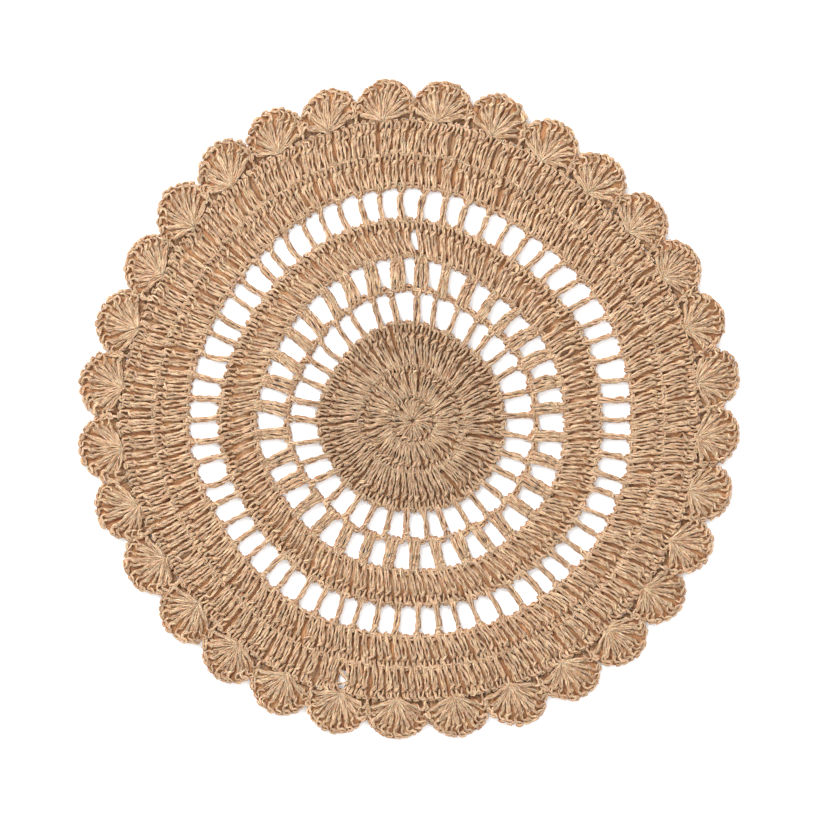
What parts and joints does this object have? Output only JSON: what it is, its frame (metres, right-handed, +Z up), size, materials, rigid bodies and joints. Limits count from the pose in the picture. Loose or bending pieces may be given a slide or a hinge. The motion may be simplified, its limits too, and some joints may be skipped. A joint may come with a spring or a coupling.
{
  "type": "crocheted placemat",
  "caption": "Round crocheted placemat in natural twine, with a close middle, three lace rounds and a scalloped edging of fan-shaped shells.",
  "frame": {"origin": "centre of the mat's outline, on its underside", "axes": "+Z up through the mat's thickness; the joins of the rounds lie towards +Y"},
  "size_m": [0.381, 0.38, 0.0045],
  "materials": {
    "twine": "undyed plant-fibre twine, loosely plied and crocheted, matt with a faint straw sheen, its strands pale straw to orange tan"
  },
  "bodies": {
    "root": {"placemat": "twine"}
  },
  "joints": []
}
